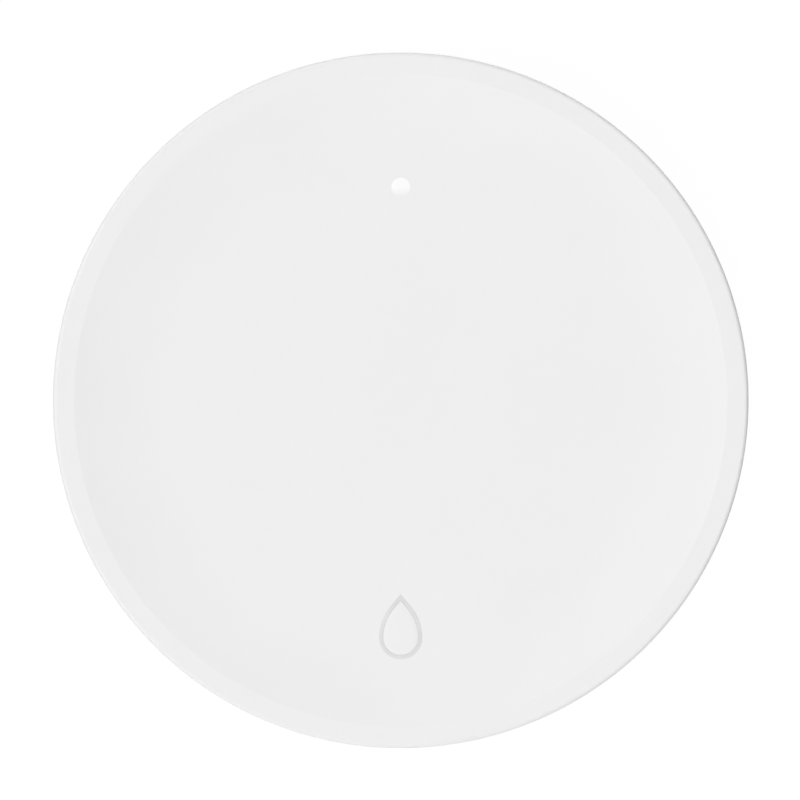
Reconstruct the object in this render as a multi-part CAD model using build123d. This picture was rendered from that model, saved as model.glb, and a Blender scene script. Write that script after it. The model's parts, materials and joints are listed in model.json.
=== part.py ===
from build123d import *
import os
from math import cos, radians, sin

# Water leak sensor: a round puck that lies on the floor, with a dished top, a status
# light, a drop-shaped button, two steel probes underneath and a coin cell behind a
# twist-off cover. Millimetres. Origin: centre of the footprint, on the floor.
# +Z is up and +Y points from the middle to the status light.

overrun = 0.5           # how far a cutter runs past the face that it opens
touch_clearance = 0.02  # between curved faces that seat on each other
slide_clearance = 0.06  # around a piece that slides or turns

# Outside of the case
case_diameter = 50.0
case_height = 15.0
base_gap = 0.8          # the feet hold the base this far off the floor
rim_width = 1.55        # flat rim, with its rounded edge
rim_edge_radius = 0.32
dish_depth = 0.45
dish_sweep_width = 6.8  # band in which the dish floor curves up to the rim

# Top shell
top_wall = 1.4
side_wall = 1.4
side_taper = 0.35       # the skirt is this much narrower at its foot
skirt_edge_radius = 0.3
ceiling_fillet_radius = 0.8

# Bottom shell
base_wall = 1.6
base_band_height = 1.9
base_inset = 1.0
base_edge_radius = 0.9
seam_gap = 0.3          # shadow line between the skirt and the base
spigot_clearance = 0.1  # spigot: the upright ring that enters the top shell
spigot_wall = 1.2
spigot_height = 4.2
spigot_lead_in = 0.3
floor_fillet_radius = 0.4
case_groove_depth = 0.6
case_groove_width = 1.3
case_groove_lift = 2.0  # from the top of the base band to the groove

# Screws that join the shells, under the rubber feet
screw_count = 4
screw_radius = 0.95
screw_length = 6.0
screw_head_radius = 1.75
screw_head_height = 1.3
screw_head_edge = 0.4
screw_hole_clearance = 0.15
screw_seat_thickness = 1.2
thread_clearance = 0.05
boss_radius = 2.0
boss_gap = 0.2          # from a boss to the spigot
pilot_relief = 0.6
gusset_width = 1.0
gusset_gap = 0.4
foot_radius = 2.4
foot_recess_depth = 0.6
foot_recess_clearance = 0.1
foot_edge_radius = 0.4
foot_stub_height = 0.3
foot_stub_gap = 0.2
tower_wall = 0.4

# Probes: two steel screws that stand out below the base
probe_lift = 0.2        # from the floor to the head
probe_head_radius = 2.1
probe_head_height = 1.1
probe_head_edge = 0.35
probe_recess_length = 2.5
probe_recess_width = 0.55
probe_recess_depth = 0.6
probe_shank_radius = 1.0
probe_pocket_clearance = 0.3
probe_hole_clearance = 0.1
probe_seal_section = 0.75
probe_seat_thickness = 1.2
probe_tower_wall = 1.0
standoff_radius = 2.1
standoff_spigot_radius = 1.3
standoff_spigot_rise = 0.3
standoff_tip_gap = 0.4

# Coin cell
cell_diameter = 20.0
cell_thickness = 3.2
cell_edge_radius = 0.3
cell_shoulder_drop = 0.2
cell_crimp_width = 0.7
cell_seal_width = 0.4
cell_cap_depth = 0.6
cell_cap_edge = 0.2
cell_side_clearance = 0.3
cell_end_clearance = 0.1

# Battery cover and its bayonet collar
cover_floor = 1.5
cover_flange_thickness = 1.0
cover_flange_lap = 0.8
cover_flange_gap = 0.15
cover_edge_radius = 0.3
cover_ring_wall = 0.9
cover_plug_height = 1.4
cover_seat_gap = 0.05
cover_groove_depth = 0.6
cover_groove_width = 0.7
bayonet_reach = 0.8
bayonet_clearance = 0.15
lug_height = 0.65
lug_count = 3
lug_arc = 40.0
lug_turn = 45.0
entry_play_arc = 5.0
stop_play_arc = 1.0
ledge_height = 0.6
ledge_gap = 0.08
collar_wall = 1.1
coin_slot_length = 15.0
coin_slot_width = 1.8
coin_slot_depth = 0.8

# Circuit board and what is soldered to it
contact_height = 1.2    # from the cell up to the board
board_thickness = 1.0
board_gap = 0.4
board_notch_clearance = 0.4
post_radius = 1.5
sheet_thickness = 0.2
contact_bend_radius = 0.5
minus_contact_width = 5.0
minus_pad_length = 3.0
minus_tail_length = 1.8
minus_tail_rise = 0.4
plus_contact_width = 4.0
plus_pad_length = 2.6
plus_foot_gap = 0.15
plus_touch_length = 0.4
plus_foot_flare = 0.35
chip_width = 6.0
chip_height = 0.9
can_length = 13.0
can_width = 11.0
can_height = 1.8
can_wall = 0.2
can_corner_radius = 0.8
crystal_length = 3.2
crystal_width = 2.5
crystal_height = 0.7
crystal_corner_radius = 0.5
chip_part_length = 1.6
chip_part_width = 0.8
chip_part_height = 0.7
test_pad_radius = 0.7
copper_thickness = 0.07
antenna_line = 0.6
antenna_pitch = 1.3
antenna_reach = 4.2
antenna_turns = 5

# Places on the board, as shares of its radius
can_place_share = (-0.40, -0.14)
crystal_place_share = (-0.40, 0.29)
antenna_place_share = (0.34, -0.40)
chip_part_place_shares = (
    (0.10, 0.42), (0.22, 0.42), (0.34, 0.42), (0.46, 0.42),
    (0.10, 0.27), (0.22, 0.27), (0.34, 0.27), (0.46, 0.27),
    (-0.12, 0.42), (-0.12, 0.27), (-0.24, 0.50), (0.22, -0.72),
)
test_pad_place_shares = ((0.06, 0.06), (0.06, -0.08), (0.06, -0.22), (0.20, 0.06), (0.34, 0.06))

# Status light
led_inset = 9.65        # from the case's edge to the light
led_length = 2.0
led_width = 1.25
led_height = 0.8
led_gap = 0.4
pipe_tip_radius = 0.65
pipe_tip_rise = 0.08
pipe_body_radius = 1.3
pipe_body_length = 1.4
pipe_rod_radius = 0.75
pipe_socket_wall = 0.8
pipe_socket_length = 1.6

# Drop-shaped button
drop_inset = 7.94       # from the case's edge to the centre of the drop's round end
drop_width = 3.12
drop_height = 4.69
drop_tip_half_angle = 40.0
drop_line_width = 0.26
button_travel = 0.25
collar_plate_radius = 3.8
collar_plate_thickness = 0.6
collar_rib_wall = 0.8
collar_rib_gap = 0.1
key_gap = 0.04
key_flange_radius = 2.9
key_flange_thickness = 0.4
key_post_radius = 1.2

# Push switch under the button
switch_width = 4.5
switch_base_height = 1.0
switch_floor = 0.25
switch_height = 1.6
switch_cavity_radius = 1.7
switch_plate_thickness = 0.15
dome_radius = 1.6
dome_reserve = 0.1      # what is left of the dome's rise at full press
dome_thickness = 0.08
stem_radius = 1.0
stem_flange_lap = 0.3
terminal_length = 1.0
terminal_width = 0.7

# Radii worked out from the sizes above
case_radius = case_diameter / 2
rim_inner_radius = case_radius - rim_width
dish_floor_radius = rim_inner_radius - dish_sweep_width
skirt_foot_radius = case_radius - side_taper
shell_bore_radius = case_radius - side_wall
base_radius = case_radius - base_inset
spigot_radius = shell_bore_radius - spigot_clearance
spigot_bore_radius = spigot_radius - spigot_wall
boss_circle = spigot_bore_radius - boss_radius - boss_gap
foot_recess_radius = foot_radius + foot_recess_clearance
head_pocket_radius = screw_head_radius + screw_hole_clearance
screw_tower_radius = foot_recess_radius + tower_wall
cell_radius = cell_diameter / 2
cover_bore_radius = cell_radius + cell_side_clearance
neck_radius = cover_bore_radius + cover_ring_wall
lug_radius = neck_radius + bayonet_reach
collar_bore_radius = lug_radius + bayonet_clearance
ledge_bore_radius = neck_radius + bayonet_clearance
plug_radius = collar_bore_radius - slide_clearance
flange_radius = collar_bore_radius + cover_flange_lap
flange_recess_radius = flange_radius + cover_flange_gap
collar_radius = collar_bore_radius + collar_wall
tower_circle = (collar_radius + spigot_bore_radius) / 2
probe_pocket_radius = probe_head_radius + probe_pocket_clearance
board_radius = spigot_bore_radius - board_gap
board_notch_radius = boss_radius + board_notch_clearance

# Heights above the floor
skirt_z = base_gap + base_band_height + seam_gap
band_top_z = base_gap + base_band_height
base_floor_z = base_gap + base_wall
spigot_top_z = band_top_z + spigot_height
case_groove_z = band_top_z + case_groove_lift
foot_seat_z = base_gap + foot_recess_depth
screw_seat_z = foot_seat_z + foot_stub_height + foot_stub_gap + screw_head_height
screw_tower_z = screw_seat_z + screw_seat_thickness
probe_seal_z = probe_lift + probe_head_height
probe_seat_z = probe_seal_z + probe_seal_section
probe_tower_z = probe_seat_z + probe_seat_thickness
flange_top_z = base_gap + cover_flange_thickness
plug_top_z = flange_top_z + cover_plug_height
ledge_z = plug_top_z + ledge_gap
lug_z = ledge_z + ledge_height + ledge_gap
lug_top_z = lug_z + lug_height
collar_top_z = lug_top_z + ledge_gap
cell_z = base_gap + cover_floor + cell_end_clearance
cell_top_z = cell_z + cell_thickness
board_z = cell_top_z + contact_height
board_top_z = board_z + board_thickness
dish_z = case_height - dish_depth
ceiling_z = dish_z - top_wall
collar_plate_z = ceiling_z - collar_plate_thickness
key_flange_top_z = collar_plate_z - key_gap
key_flange_z = key_flange_top_z - key_flange_thickness
stem_top_z = board_top_z + switch_height
dome_rise = button_travel + dome_reserve

# Places in plan
led_place = (0, case_radius - led_inset)
drop_place = (0, drop_inset - case_radius)
tip_height = drop_height - drop_width / 2
drop_middle = (tip_height - drop_width / 2) / 2
button_place = (0, drop_place[1] + drop_middle)
probe_places = {"left": (-tower_circle, 0), "right": (tower_circle, 0)}
post_places = ((0, tower_circle), (0, -tower_circle))
screw_angles = [(n + 0.5) * 360 / screw_count for n in range(screw_count)]


def turned(*outline):
    """Solid of revolution about the case's axis, from (radius, height) points."""
    return revolve(Plane.XZ * make_face(Polyline(*outline, close=True)), Axis.Z)


def disc(radius, low, high, place=(0, 0)):
    """Upright cylinder between two heights."""
    return Pos(*place, low) * extrude(Circle(radius), high - low)


def ring(outer, inner, low, high, place=(0, 0)):
    """Upright tube between two heights."""
    return Pos(*place, low) * extrude(Circle(outer) - Circle(inner), high - low)


def ring_part(outer, inner, low, high, start, arc):
    """Piece of a tube that starts at an angle and covers an arc, in degrees."""
    section = Polyline((inner, low), (outer, low), (outer, high), (inner, high), close=True)
    return Rot(0, 0, start) * revolve(Plane.XZ * make_face(section), Axis.Z, arc)


def seal_ring(inner, outer, low, high, place=(0, 0)):
    """Squeezed O-ring of oval section that fills a groove but for the touch clearance."""
    wide = (outer - inner) / 2 - touch_clearance
    tall = (high - low) / 2 - touch_clearance
    section = Plane.XZ * Pos((inner + outer) / 2, (low + high) / 2) * Ellipse(wide, tall)
    return Pos(*place) * revolve(section, Axis.Z)


def eased(shape, radius, points):
    """Rounds the corners of a face, or of a profile, that lie nearest to the points."""
    return fillet([shape.vertices().sort_by_distance(point)[0] for point in points], radius)


def around_screws(piece):
    """One copy of a piece at each screw."""
    return [Rot(0, 0, angle) * piece for angle in screw_angles]


def dish_curve():
    """Top of the case from the axis out to the rim: flat, then curving up."""
    flat = Line((0, dish_z), (dish_floor_radius, dish_z))
    return flat + TangentArc(flat @ 1, (rim_inner_radius, case_height), tangent=flat % 1)


def below_dish(low):
    """Everything under the dish down to a height, to trim what comes up through the top."""
    curve = dish_curve()
    close = Polyline((rim_inner_radius, case_height), (rim_inner_radius, low), (0, low), (0, dish_z))
    return revolve(Plane.XZ * make_face(curve + close), Axis.Z)


def drop_face(inset=0):
    """Drop outline, shrunk by inset: a round end, two long side arcs and a straight-sided tip."""
    angle = radians(drop_tip_half_angle)
    half = drop_width / 2
    side_radius = (tip_height * sin(angle) - half * cos(angle)) / (1 - cos(angle))
    end_radius = half - inset
    arc_radius = side_radius - inset
    centre = side_radius - half
    tip = (0, tip_height - inset / sin(angle))
    round_end = ThreePointArc((-end_radius, 0), (0, -end_radius), (end_radius, 0))
    right = CenterArc((-centre, 0), arc_radius, 0, drop_tip_half_angle)
    left = CenterArc((centre, 0), arc_radius, 180, -drop_tip_half_angle)
    return make_face([round_end, right, Line(right @ 1, tip), Line(tip, left @ 1), left])


def drop_prism(inset, low):
    """Drop outline raised from a height to the surface of the dish."""
    prism = Pos(*drop_place, low) * extrude(drop_face(inset), case_height - low)
    return prism & below_dish(low)


def top_shell():
    rim = Line((rim_inner_radius, case_height), (case_radius, case_height))
    side = TangentArc(rim @ 1, (skirt_foot_radius, skirt_z), tangent=(0, -1))
    inside = Polyline(
        side @ 1, (shell_bore_radius, skirt_z), (shell_bore_radius, ceiling_z), (0, ceiling_z), (0, dish_z),
    )
    profile = make_face(dish_curve() + rim + side + inside)
    profile = eased(profile, rim_edge_radius, [(case_radius, case_height)])
    profile = eased(profile, skirt_edge_radius, [(skirt_foot_radius, skirt_z)])
    profile = eased(profile, ceiling_fillet_radius, [(shell_bore_radius, ceiling_z)])
    shell = revolve(Plane.XZ * profile, Axis.Z)

    boss = disc(boss_radius, screw_tower_z, ceiling_z, (boss_circle, 0))
    gusset_z = spigot_top_z + gusset_gap
    gusset = Pos((boss_circle + shell_bore_radius) / 2, 0, gusset_z) * extrude(
        Rectangle(shell_bore_radius - boss_circle + overrun, gusset_width), ceiling_z - gusset_z
    )
    pilot_top_z = screw_seat_z + screw_length + pilot_relief
    pilot = disc(screw_radius + thread_clearance, screw_tower_z - overrun, pilot_top_z, (boss_circle, 0))
    shell = shell + around_screws(boss) + around_screws(gusset)
    shell = shell - around_screws(pilot)

    # socket that holds the light pipe, with the small hole for its tip
    socket_radius = pipe_body_radius + slide_clearance
    socket_z = ceiling_z - pipe_socket_length
    shell += ring(socket_radius + pipe_socket_wall, socket_radius, socket_z, ceiling_z, led_place)
    shell -= disc(pipe_tip_radius + touch_clearance, ceiling_z - overrun, case_height, led_place)

    # drop-shaped window, and the rib that locates the button's collar
    rib_bore = collar_plate_radius + collar_rib_gap
    shell += ring(rib_bore + collar_rib_wall, rib_bore, collar_plate_z, ceiling_z, button_place)
    window_z = ceiling_z - overrun
    return shell - Pos(*drop_place, window_z) * extrude(drop_face(), case_height - window_z)


def bottom_shell():
    profile = make_face(Polyline(
        (0, base_gap), (base_radius, base_gap), (base_radius, band_top_z), (spigot_radius, band_top_z),
        (spigot_radius, spigot_top_z), (spigot_bore_radius, spigot_top_z),
        (spigot_bore_radius, base_floor_z), (0, base_floor_z), close=True,
    ))
    profile = eased(profile, base_edge_radius, [(base_radius, base_gap)])
    profile = eased(profile, floor_fillet_radius, [(spigot_bore_radius, base_floor_z)])
    lead_in = profile.vertices().sort_by_distance((spigot_radius, spigot_top_z))[0]
    shell = revolve(Plane.XZ * chamfer(lead_in, spigot_lead_in), Axis.Z)

    groove_floor = spigot_radius - case_groove_depth
    groove_top_z = case_groove_z + case_groove_width
    shell -= ring(spigot_radius + overrun, groove_floor, case_groove_z, groove_top_z)

    # towers for the screws and the probes, and posts under the board
    shell += around_screws(disc(screw_tower_radius, base_floor_z, screw_tower_z, (boss_circle, 0)))
    for place in probe_places.values():
        tower_radius = probe_pocket_radius + probe_tower_wall
        shell += disc(tower_radius, base_floor_z, probe_tower_z, place)
    for place in post_places:
        shell += disc(post_radius, base_floor_z, board_z, place)

    # bayonet collar round the opening for the coin cell
    shell += disc(collar_radius, base_floor_z, collar_top_z)
    shell -= disc(flange_recess_radius, base_gap - overrun, flange_top_z + cover_seat_gap)
    shell -= disc(collar_bore_radius, base_gap, collar_top_z + overrun)
    period = 360 / lug_count
    ledge_start = lug_arc / 2 + entry_play_arc
    stop_start = lug_turn + lug_arc / 2 + stop_play_arc
    gap_end = period - ledge_start
    for n in range(lug_count):
        shell += ring_part(collar_radius, ledge_bore_radius, ledge_z, ledge_z + ledge_height,
                           n * period + ledge_start, gap_end - ledge_start)
        shell += ring_part(collar_radius, ledge_bore_radius, ledge_z, collar_top_z,
                           n * period + stop_start, gap_end - stop_start)

    # holes for the screws, their heads and the rubber feet
    for radius, low, high in (
        (foot_recess_radius, base_gap - overrun, foot_seat_z),
        (head_pocket_radius, base_gap, screw_seat_z),
        (screw_radius + screw_hole_clearance, base_gap, screw_tower_z + overrun),
    ):
        shell = shell - around_screws(disc(radius, low, high, (boss_circle, 0)))
    for place in probe_places.values():
        shell -= disc(probe_pocket_radius, base_gap - overrun, probe_seat_z, place)
        shell -= disc(probe_shank_radius + probe_hole_clearance, base_gap, probe_tower_z + overrun, place)
    return shell


def case_seal():
    groove_floor = spigot_radius - case_groove_depth
    return seal_ring(groove_floor, shell_bore_radius, case_groove_z, case_groove_z + case_groove_width)


def case_screws():
    outline = Polyline(
        (0, screw_seat_z - screw_head_height), (screw_head_radius, screw_seat_z - screw_head_height),
        (screw_head_radius, screw_seat_z), (screw_radius, screw_seat_z),
        (screw_radius, screw_seat_z + screw_length - screw_radius), (0, screw_seat_z + screw_length),
        close=True,
    )
    profile = eased(make_face(outline), screw_head_edge,
                    [(screw_head_radius, screw_seat_z - screw_head_height)])
    return Compound(children=around_screws(Pos(boss_circle, 0) * revolve(Plane.XZ * profile, Axis.Z)))


def rubber_feet():
    stub_radius = head_pocket_radius - foot_recess_clearance
    outline = Polyline(
        (0, 0), (foot_radius, 0), (foot_radius, foot_seat_z), (stub_radius, foot_seat_z),
        (stub_radius, foot_seat_z + foot_stub_height), (0, foot_seat_z + foot_stub_height), close=True,
    )
    profile = eased(make_face(outline), foot_edge_radius, [(foot_radius, 0)])
    return Compound(children=around_screws(Pos(boss_circle, 0) * revolve(Plane.XZ * profile, Axis.Z)))


def probe(place):
    """Steel probe screw: a round head with a cross recess, and a shank up to the board."""
    shank_top_z = board_top_z - standoff_tip_gap
    outline = Polyline(
        (0, probe_lift), (probe_head_radius, probe_lift), (probe_head_radius, probe_seal_z),
        (probe_shank_radius, probe_seal_z), (probe_shank_radius, shank_top_z), (0, shank_top_z),
        close=True,
    )
    profile = eased(make_face(outline), probe_head_edge, [(probe_head_radius, probe_lift)])
    screw = revolve(Plane.XZ * profile, Axis.Z)
    wing = Rectangle(probe_recess_length, probe_recess_width)
    cross = extrude(wing + Rot(0, 0, 90) * wing, probe_recess_depth)
    return Pos(*place) * (screw - Pos(0, 0, probe_lift) * cross)


def probe_seals():
    outer = probe_shank_radius + probe_seal_section
    rings = [seal_ring(probe_shank_radius, outer, probe_seal_z, probe_seat_z, place)
             for place in probe_places.values()]
    return Compound(children=rings)


def probe_standoffs():
    """Threaded brass posts that carry the board and lead each probe's signal to it."""
    bore = probe_shank_radius + touch_clearance
    outline = (
        (bore, probe_tower_z), (standoff_radius, probe_tower_z), (standoff_radius, board_z),
        (standoff_spigot_radius, board_z), (standoff_spigot_radius, board_top_z + standoff_spigot_rise),
        (bore, board_top_z + standoff_spigot_rise),
    )
    return Compound(children=[Pos(*place) * turned(*outline) for place in probe_places.values()])


def battery_cover():
    """Twist-off cover: a flush flange, a sealed plug, three lugs and the slot for a coin."""
    floor_z = base_gap + cover_floor
    outline = Polyline(
        (0, base_gap), (flange_radius, base_gap), (flange_radius, flange_top_z),
        (plug_radius, flange_top_z), (plug_radius, plug_top_z), (neck_radius, plug_top_z),
        (neck_radius, lug_top_z), (cover_bore_radius, lug_top_z), (cover_bore_radius, floor_z),
        (0, floor_z), close=True,
    )
    profile = eased(make_face(outline), cover_edge_radius, [(flange_radius, base_gap)])
    cover = revolve(Plane.XZ * profile, Axis.Z)
    cover -= ring(plug_radius + overrun, plug_radius - cover_groove_depth, *cover_groove())
    for n in range(lug_count):
        start = n * 360 / lug_count + lug_turn - lug_arc / 2
        cover += ring_part(lug_radius, cover_bore_radius, lug_z, lug_top_z, start, lug_arc)
    slot = extrude(SlotOverall(coin_slot_length, coin_slot_width), coin_slot_depth + overrun)
    return cover - Pos(0, 0, base_gap - overrun) * slot


def cover_groove():
    """Heights of the groove for the cover's seal."""
    middle = (flange_top_z + cover_seat_gap + plug_top_z) / 2
    return middle - cover_groove_width / 2, middle + cover_groove_width / 2


def cover_seal():
    return seal_ring(plug_radius - cover_groove_depth, collar_bore_radius, *cover_groove())


def cell_can():
    shoulder_z = cell_top_z - cell_shoulder_drop
    recess_radius = cell_radius - cell_crimp_width
    outline = Polyline(
        (0, cell_z), (cell_radius, cell_z), (cell_radius, shoulder_z), (recess_radius, shoulder_z),
        (recess_radius, cell_top_z - cell_cap_depth), (0, cell_top_z - cell_cap_depth), close=True,
    )
    corners = [(cell_radius, cell_z), (cell_radius, shoulder_z)]
    return revolve(Plane.XZ * eased(make_face(outline), cell_edge_radius, corners), Axis.Z)


def cell_gasket():
    outer = cell_radius - cell_crimp_width
    return ring(outer, outer - cell_seal_width, cell_top_z - cell_cap_depth, cell_top_z - cell_shoulder_drop)


def cell_cap():
    cap_radius = cell_radius - cell_crimp_width - cell_seal_width
    low = cell_top_z - cell_cap_depth
    outline = Polyline((0, low), (cap_radius, low), (cap_radius, cell_top_z), (0, cell_top_z), close=True)
    return revolve(Plane.XZ * eased(make_face(outline), cell_cap_edge, [(cap_radius, cell_top_z)]), Axis.Z)


def bent_strip(path, width):
    """Sheet-metal strip of one thickness, bent along a path in the XZ plane."""
    face = Plane.XZ * trace(FilletPolyline(*path, radius=contact_bend_radius), sheet_thickness)
    return extrude(face, width / 2, both=True)


def minus_contact():
    """Leaf spring from the board's underside to the middle of the cell's cap."""
    pad_z = board_z - sheet_thickness / 2
    tip_z = cell_top_z + sheet_thickness / 2
    reach = cell_radius - cell_crimp_width - cell_seal_width
    return bent_strip([
        (-reach, pad_z), (minus_pad_length - reach, pad_z), (0, tip_z), (minus_tail_length, tip_z),
        (2 * minus_tail_length, tip_z + minus_tail_rise),
    ], minus_contact_width)


def plus_contact():
    """Clip from the board's underside that presses on the side of the cell."""
    pad_z = board_z - sheet_thickness / 2
    touch_x = cell_radius + sheet_thickness / 2 + touch_clearance
    foot_z = lug_top_z + plus_foot_gap
    bend_x = touch_x + plus_foot_flare
    return bent_strip([
        (bend_x + plus_pad_length, pad_z), (bend_x, pad_z),
        (touch_x, foot_z + plus_touch_length), (touch_x, foot_z),
    ], plus_contact_width)


def circuit_board():
    board = disc(board_radius, board_z, board_top_z)
    notch = SlotOverall(2 * (board_radius - boss_circle + board_notch_radius), 2 * board_notch_radius)
    cutter = Pos(board_radius, 0, board_z - overrun) * extrude(notch, board_thickness + 2 * overrun)
    board = board - around_screws(cutter)
    for place in probe_places.values():
        hole_radius = standoff_spigot_radius + touch_clearance
        board -= disc(hole_radius, board_z - overrun, board_top_z + overrun, place)
    return board


def on_board(shape, share=(0, 0)):
    """Stands a shape on the board at a place given as shares of the board's radius."""
    return Pos(share[0] * board_radius, share[1] * board_radius, board_top_z) * shape


def radio_chip():
    return on_board(extrude(Rectangle(chip_width, chip_width), chip_height), can_place_share)


def shield_can():
    outer = RectangleRounded(can_length, can_width, can_corner_radius)
    inner = offset(outer, -can_wall)
    can = extrude(outer, can_height) - extrude(inner, can_height - can_wall)
    return on_board(can, can_place_share)


def crystal():
    outline = RectangleRounded(crystal_length, crystal_width, crystal_corner_radius)
    return on_board(extrude(outline, crystal_height), crystal_place_share)


def small_parts():
    block = extrude(Rectangle(chip_part_width, chip_part_length), chip_part_height)
    return Compound(children=[on_board(block, share) for share in chip_part_place_shares])


def test_pads():
    pad = extrude(Circle(test_pad_radius), copper_thickness)
    return Compound(children=[on_board(pad, share) for share in test_pad_place_shares])


def antenna_trace():
    """Flat copper aerial that folds back and forth along the board."""
    points = [(0, 0)]
    for n in range(antenna_turns):
        end = antenna_reach if n % 2 == 0 else 0
        points += [(n * antenna_pitch, end), ((n + 1) * antenna_pitch, end)]
    line = FilletPolyline(*points[:-1], radius=antenna_line / 2)
    return on_board(extrude(trace(line, antenna_line), copper_thickness), antenna_place_share)


def status_led():
    return Pos(*led_place) * on_board(extrude(Rectangle(led_length, led_width), led_height))


def light_pipe():
    """Clear rod from just above the status light, through a body, to a domed tip in the dish."""
    low = board_top_z + led_height + led_gap
    body_z = ceiling_z - pipe_body_length
    side = Polyline(
        (0, low), (pipe_rod_radius, low), (pipe_rod_radius, body_z), (pipe_body_radius, body_z),
        (pipe_body_radius, ceiling_z), (pipe_tip_radius, ceiling_z), (pipe_tip_radius, dish_z),
    )
    dome = TangentArc((0, dish_z + pipe_tip_rise), (pipe_tip_radius, dish_z), tangent=(1, 0))
    profile = make_face(side + dome + Line((0, low), (0, dish_z + pipe_tip_rise)))
    return Pos(*led_place) * revolve(Plane.XZ * profile, Axis.Z)


def key_collar():
    """Soft collar that seals the button: its top edge is the drop's outline in the dish."""
    plate = disc(collar_plate_radius, collar_plate_z, ceiling_z, button_place)
    hole = drop_prism(drop_line_width, collar_plate_z - overrun)
    return plate + drop_prism(touch_clearance, ceiling_z) - hole


def drop_key():
    """Drop-shaped key, its flange under the collar and the post down to the switch."""
    key = drop_prism(drop_line_width + key_gap, key_flange_top_z)
    key += disc(key_flange_radius, key_flange_z, key_flange_top_z, button_place)
    return key + disc(key_post_radius, stem_top_z, key_flange_z, button_place)


def switch_base():
    base = extrude(Rectangle(switch_width, switch_width), switch_base_height)
    cavity = extrude(Circle(switch_cavity_radius), switch_base_height)
    return Pos(*button_place) * on_board(base - Pos(0, 0, switch_floor) * cavity)


def switch_plate():
    """Steel plate that closes the switch, with a hole for the stem."""
    outline = Rectangle(switch_width, switch_width) - Circle(stem_radius + slide_clearance)
    plate = Pos(0, 0, switch_base_height) * extrude(outline, switch_plate_thickness)
    return Pos(*button_place) * on_board(plate)


def switch_terminals():
    """Four legs that solder the switch to the board."""
    legs = []
    reach = (switch_width + terminal_length) / 2
    for side in (-1, 1):
        for end in (-1, 1):
            x = side * reach
            y = end * (switch_width - terminal_width) / 2
            leg = Pos(x, y) * extrude(Rectangle(terminal_length, terminal_width), sheet_thickness)
            legs.append(Pos(*button_place) * on_board(leg))
    return Compound(children=legs)


def switch_dome():
    """Thin domed spring that clicks through when the stem presses on it."""
    under = TangentArc((0, switch_floor + dome_rise), (dome_radius, switch_floor), tangent=(1, 0))
    over = Pos(0, dome_thickness) * under
    profile = make_face(under + over + Line(under @ 0, over @ 0) + Line(under @ 1, over @ 1))
    return Pos(*button_place) * on_board(revolve(Plane.XZ * profile, Axis.Z))


def switch_stem():
    """Round stem between the dome and the key's post, kept in by its flange."""
    flange_low = switch_floor + dome_rise + dome_thickness + touch_clearance
    flange_high = switch_base_height - touch_clearance
    rim_radius = stem_radius + stem_flange_lap
    outline = (
        (0, flange_low), (rim_radius, flange_low), (rim_radius, flange_high),
        (stem_radius, flange_high), (stem_radius, switch_height), (0, switch_height),
    )
    return Pos(*button_place) * on_board(turned(*outline))


pieces = {
    "top_shell": top_shell(),
    "bottom_shell": bottom_shell(),
    "case_seal": case_seal(),
    "case_screws": case_screws(),
    "rubber_feet": rubber_feet(),
    "probe_seals": probe_seals(),
    "probe_standoffs": probe_standoffs(),
    "battery_cover": battery_cover(),
    "cover_seal": cover_seal(),
    "cell_can": cell_can(),
    "cell_gasket": cell_gasket(),
    "cell_cap": cell_cap(),
    "minus_contact": minus_contact(),
    "plus_contact": plus_contact(),
    "circuit_board": circuit_board(),
    "radio_chip": radio_chip(),
    "shield_can": shield_can(),
    "crystal": crystal(),
    "small_parts": small_parts(),
    "test_pads": test_pads(),
    "antenna_trace": antenna_trace(),
    "status_led": status_led(),
    "light_pipe": light_pipe(),
    "key_collar": key_collar(),
    "drop_key": drop_key(),
    "switch_base": switch_base(),
    "switch_plate": switch_plate(),
    "switch_terminals": switch_terminals(),
    "switch_dome": switch_dome(),
    "switch_stem": switch_stem(),
}
for side, place in probe_places.items():
    pieces[f"probe_{side}"] = probe(place)

os.makedirs("parts", exist_ok=True)
for name, piece in pieces.items():
    export_step(piece, f"parts/{name}.step")
    print(name, len(piece.solids()), round(piece.volume, 2))
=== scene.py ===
import json
import math

import bmesh
import bpy
from mathutils import Matrix, Vector


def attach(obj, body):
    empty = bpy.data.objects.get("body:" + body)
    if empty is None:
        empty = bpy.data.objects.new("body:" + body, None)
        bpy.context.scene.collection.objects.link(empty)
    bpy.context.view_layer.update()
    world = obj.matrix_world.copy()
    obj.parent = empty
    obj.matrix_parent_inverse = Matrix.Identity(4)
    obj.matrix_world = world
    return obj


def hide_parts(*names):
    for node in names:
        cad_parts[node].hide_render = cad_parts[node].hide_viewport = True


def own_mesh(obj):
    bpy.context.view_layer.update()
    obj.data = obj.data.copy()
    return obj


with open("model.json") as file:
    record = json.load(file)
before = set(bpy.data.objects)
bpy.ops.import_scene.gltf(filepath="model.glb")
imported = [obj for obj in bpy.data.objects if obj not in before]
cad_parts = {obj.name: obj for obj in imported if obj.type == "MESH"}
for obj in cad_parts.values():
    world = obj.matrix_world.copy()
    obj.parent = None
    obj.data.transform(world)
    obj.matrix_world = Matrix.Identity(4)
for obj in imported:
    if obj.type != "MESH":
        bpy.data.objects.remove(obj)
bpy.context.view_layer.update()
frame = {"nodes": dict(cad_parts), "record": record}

# Water leak sensor: a round white puck with a dished top, seen from straight above on white.
# Sizes are written in millimetres, and mm turns them into Blender's metres.
# Z is up, the origin is on the floor, and +Y points from the middle to the status light.
mm = 0.001
nodes = frame["nodes"]

case = {
    "radius": 25.0, "height": 15.0, "rimInner": 23.45, "dishFloor": 16.65, "dishZ": 14.55,
    "ceilingZ": 13.15, "baseZ": 0.8, "drapeAbove": 0.05, "steps": 360,
}
lightSpot = (0, 15.35)
dropSpot = (0, -17.06)
buttonSpot = (0, -16.275)
screwCircle = 20.1
screwCount = 4
probeCircle = 17.775

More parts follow.
